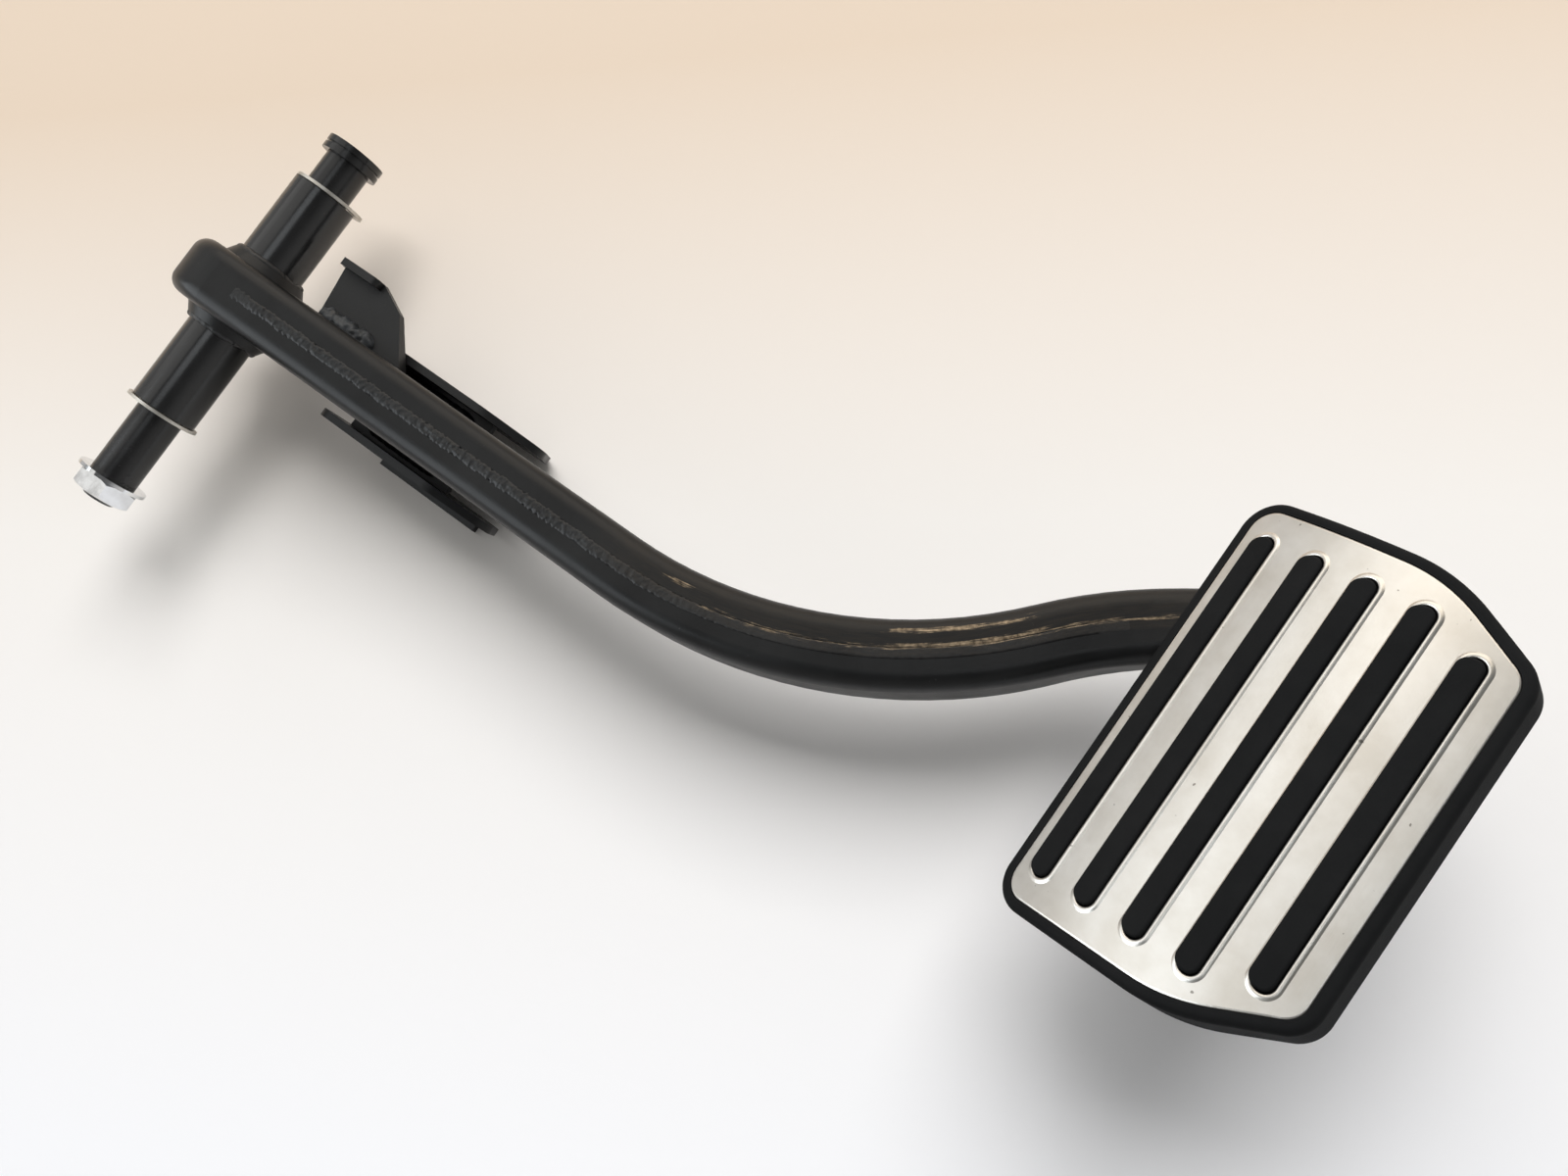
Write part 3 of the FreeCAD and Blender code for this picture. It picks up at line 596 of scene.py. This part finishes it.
def lip_rows(index):
    """Rows of points of the rolled lip once round a slot."""
    middle = SLOT_FIRST_V + index * SLOT_PITCH
    half = SLOT_HALF_LENGTHS[index]
    stations = []
    for end in (1, -1):
        for k in range(LIP_END_STEPS + 1):
            angle = math.pi * k / LIP_END_STEPS
            stations.append((end * half, end * math.cos(angle), end * math.sin(angle)))
        for k in range(1, LIP_SIDE_STEPS):
            stations.append((end * half * (1 - 2 * k / LIP_SIDE_STEPS), -end, 0))
    rows = []
    for along, across, ahead in stations + stations[:1]:
        rows.append([pad_point(middle + d * across, along + d * ahead, n) for d, n in LIP_SECTION])
    return rows


def bead_rows(path, radius, seed, ripple, rough):
    """Rows of rings along a path: a rippled bead with rounded ends."""
    rings = []
    last = len(path) - 1
    for k, (centre, along) in enumerate(path):
        along = along.normalized()
        aid = Vector((0, 0, 1)) if abs(along.z) < BEAD_STEEP else Vector((0, 1, 0))
        across = along.cross(aid)
        across.normalize()
        upward = across.cross(along)
        share = k / last
        taper = min(1.0, math.sqrt(max(BEAD_END_LEAST, min(share, 1 - share) * BEAD_END_SLOPE)))
        stray = BEAD_STRAY_SHARE * noise.noise(centre * BEAD_RIPPLE_NOISE)
        wave = 1 + ripple * math.sin(k * BEAD_RIPPLE_TURN + stray)
        ring = []
        for i in range(BEAD_SIDES):
            a = 2 * math.pi * i / BEAD_SIDES
            way = across * math.cos(a) + upward * math.sin(a)
            coarse = noise.noise((centre + way * radius) * BEAD_COARSE + Vector((seed, 0, 0)))
            fine = noise.noise((centre + way * radius) * BEAD_FINE + Vector((0, seed, 0)))
            lump = coarse + BEAD_FINE_SHARE * fine
            ring.append(centre + way * radius * taper * (wave + rough * lump))
        rings.append(ring)
    return rings


def straight_path(start, end, steps):
    a = Vector(start)
    b = Vector(end)
    return [(a.lerp(b, k / steps), b - a) for k in range(steps + 1)]


def round_path(y, radius, steps):
    path = []
    for k in range(steps + 1):
        a = 2 * math.pi * k / steps
        centre = Vector((radius * math.cos(a), y, radius * math.sin(a)))
        path.append((centre, Vector((-math.sin(a), 0, math.cos(a)))))
    return path


def show(piece, material, slot, *nodes):
    """Gives a new piece its material and lets it stand for CAD nodes; the slot argument is not used."""
    piece.data.materials.append(material)
    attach(piece, "pedal")
    if nodes:
        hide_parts(*nodes)


def dress(node, material):
    """Puts a material in every slot of a CAD node."""
    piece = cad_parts[node]
    if not piece.material_slots:
        piece.data.materials.append(material)
    for slot in piece.material_slots:
        slot.material = material


def add_camera():
    camera = bpy.data.objects.new("camera", bpy.data.cameras.new("camera"))
    rows = zip(CAMERA_RIGHT, CAMERA_UP, CAMERA_BACK, CAMERA_AT)
    camera.matrix_world = Matrix([list(row) for row in rows] + [[0, 0, 0, 1]])
    camera.data.sensor_fit = "HORIZONTAL"
    camera.data.sensor_width = SENSOR_MM
    camera.data.lens = LENS_MM
    camera.data.clip_start = CLIP_START
    bpy.context.scene.collection.objects.link(camera)
    bpy.context.scene.camera = camera


def add_softbox(name, way, width, height, power, colour, lights, mirrored):
    """Area lamp aimed at the part; it lights matt surfaces, is mirrored in glossy ones, or both."""
    target = Vector(LAMP_TARGET)
    lamp = bpy.data.lights.new(name, "AREA")
    lamp.shape = "RECTANGLE"
    lamp.size = width
    lamp.size_y = height
    lamp.energy = power
    lamp.color = colour
    holder = bpy.data.objects.new(name, lamp)
    holder.location = target + Vector(way).normalized() * LAMP_DISTANCE
    holder.rotation_mode = "QUATERNION"
    holder.rotation_quaternion = (target - holder.location).to_track_quat("-Z", "Y")
    holder.visible_diffuse = lights
    holder.visible_glossy = mirrored
    bpy.context.scene.collection.objects.link(holder)


def add_world():
    """Pale surroundings with a dark ceiling over the camera."""
    world = bpy.data.worlds.new("studio")
    bpy.context.scene.world = world
    world.use_nodes = True
    tree = world.node_tree
    coords = add(tree, "ShaderNodeTexCoord")
    split = add(tree, "ShaderNodeSeparateXYZ")
    tree.links.new(coords.outputs["Generated"], split.inputs["Vector"])
    sky = ramp(tree, split.outputs["Z"], *SKY_TONES)
    tree.links.new(sky, tree.nodes["Background"].inputs["Color"])


def add_floor():
    """Pale matt table with painted light and shade in its colour: cool and bright on the near side, warmer
    and darker on the far side.
    """
    level = cad_low[2] - FLOOR_GAP
    half = FLOOR_HALF
    corners = [(-half, -half, level), (half, -half, level), (half, half, level), (-half, half, level)]
    data = bpy.data.meshes.new("floor")
    data.from_pydata(corners, [], [(0, 1, 2, 3)])
    floor = bpy.data.objects.new("floor", data)
    bpy.context.scene.collection.objects.link(floor)
    material, tree, shader = new_material("floor")
    split = add(tree, "ShaderNodeSeparateXYZ")
    tree.links.new(place(tree, turn=(0, 0, FLOOR_PAINTED_LIGHT_TURN)), split.inputs["Vector"])
    across = math_of(tree, "MULTIPLY", split.outputs["Y"], FLOOR_PAINTED_LIGHT_SLOPE)
    across = math_of(tree, "ADD", across, FLOOR_PAINTED_LIGHT_SHIFT)
    # painted light and shade: the floor's colour is brighter and cooler on the near side, darker and warmer
    # on the far side
    tree.links.new(ramp(tree, across, *FLOOR_PAINTED_LIGHT_TONES), shader.inputs["Base Color"])
    shader.inputs["Roughness"].default_value = FLOOR_ROUGH
    shader.inputs["Specular IOR Level"].default_value = FLOOR_SHINE
    grain = noise_of(tree, place(tree), scale=160, detail=4)
    bump(tree, shader, grain, FLOOR_GRAIN_DEPTH, FLOOR_GRAIN_STRENGTH)
    data.materials.append(material)


bpy.context.scene.view_settings.view_transform = "Standard"
add_camera()
add_world()
add_floor()
for name, values in LAMPS.items():
    add_softbox(name, *values)

looks = {}
for name, values in PAINTS.items():
    looks[name] = black_paint(name, *values)
for name, values in WELDS.items():
    looks[name] = weld_metal(name, *values)
for name, values in METALS.items():
    looks[name] = plain_metal(name, *values)
for name, make in (("trim_steel", trim_metal), ("rubber", rubber), ("bush_plastic", plastic)):
    looks[name] = make(name)
for node, finish in FINISHES.items():
    dress(node, looks[finish])

seam_top = grid_mesh("seam_bead_top", seam_rows(top_height, 1, SEAM_TOP_SEED))
seam_low = grid_mesh("seam_bead_low", seam_rows(low_height, -1, SEAM_LOW_SEED))
show(seam_top, looks["seam_paint"], "weld", "seam_weld")
show(seam_low, looks["seam_paint"], "weld")

path = straight_path(TAB_WELD_FROM, TAB_WELD_TO, TAB_WELD_STEPS)
rows = bead_rows(path, TAB_WELD_R, TAB_WELD_SEED, TAB_WELD_RIPPLE, TAB_WELD_ROUGH)
tab_bead = grid_mesh("tab_bead", rows, closed=True)
show(tab_bead, looks["tab_weld"], "weld", "tab_weld")

# The left bead of each pair stands for the CAD weld of both sides
for side, name in ((-1, "left"), (1, "right")):
    start = (SIDE_WELD_FROM_X, side * SIDE_WELD_Y, SIDE_WELD_Z)
    end = (SIDE_WELD_TO_X, side * SIDE_WELD_Y, SIDE_WELD_Z)
    path = straight_path(start, end, SIDE_WELD_STEPS)
    rows = bead_rows(path, SIDE_WELD_R, SIDE_WELD_SEED + side, SIDE_WELD_RIPPLE, SIDE_WELD_ROUGH)
    bead = grid_mesh("bracket_bead_" + name, rows, closed=True)
    show(bead, looks["seam_weld"], "weld", *(["bracket_weld"] if side < 0 else []))
    path = round_path(side * RING_WELD_Y, RING_WELD_R, RING_WELD_STEPS)
    rows = bead_rows(path, RING_WELD_THICK, RING_WELD_SEED + side, RING_WELD_RIPPLE, RING_WELD_ROUGH)
    bead = grid_mesh("hub_bead_" + name, rows, closed=True)
    show(bead, looks["seam_weld"], "weld", *(["hub_weld"] if side < 0 else []))

for index in range(len(SLOT_HALF_LENGTHS)):
    lip = grid_mesh("slot_lip_" + str(index + 1), lip_rows(index))
    show(lip, looks["trim_steel"], "trim_steel")
